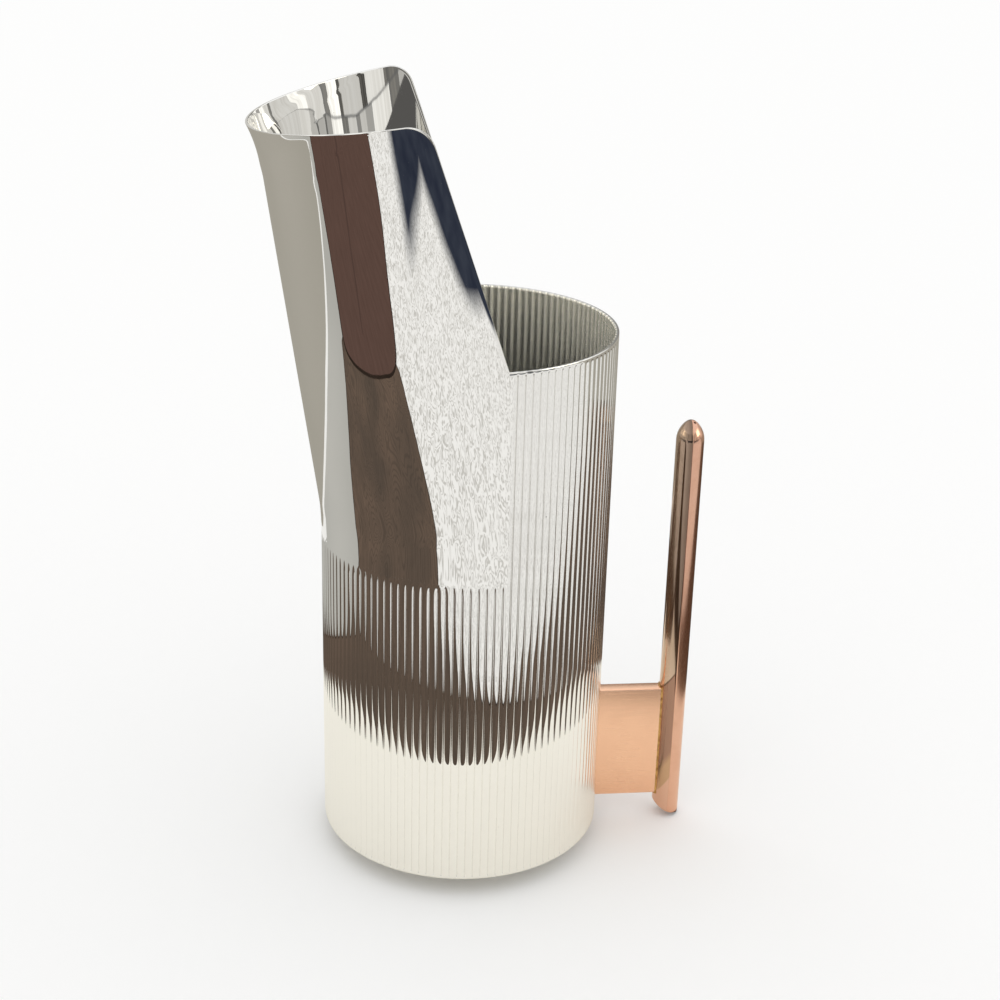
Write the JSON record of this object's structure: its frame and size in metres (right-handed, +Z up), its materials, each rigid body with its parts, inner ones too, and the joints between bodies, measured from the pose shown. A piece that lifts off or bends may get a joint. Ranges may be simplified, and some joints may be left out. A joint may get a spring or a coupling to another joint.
{
  "type": "cocktail pitcher",
  "caption": "Fluted cylindrical metal pitcher whose plain front panel rises into a tall flared spout, with a copper bar grip on a side bracket.",
  "frame": {"origin": "on the axis of the fluted body, in the plane of the foot ring's underside, which stands on the table", "axes": "+Z up along the body axis; +X from the axis toward the copper grip, so the spout leans toward -X; the object is symmetric about the XZ plane"},
  "size_m": [0.1549, 0.1076, 0.2689],
  "materials": {
    "wall": "polished",
    "spout": "polished",
    "base": "satin",
    "foot": "satin",
    "bracket": "polished copper",
    "grip": "polished copper",
    "braze": "polished"
  },
  "bodies": {
    "root": {"fluted_wall": "wall", "spout_panel": "spout", "base_plate": "base", "foot_ring": "foot", "wall_braze": "braze", "bracket": "bracket", "grip_braze": "braze", "grip_front_shell": "grip", "grip_back_shell": "grip"}
  },
  "joints": []
}
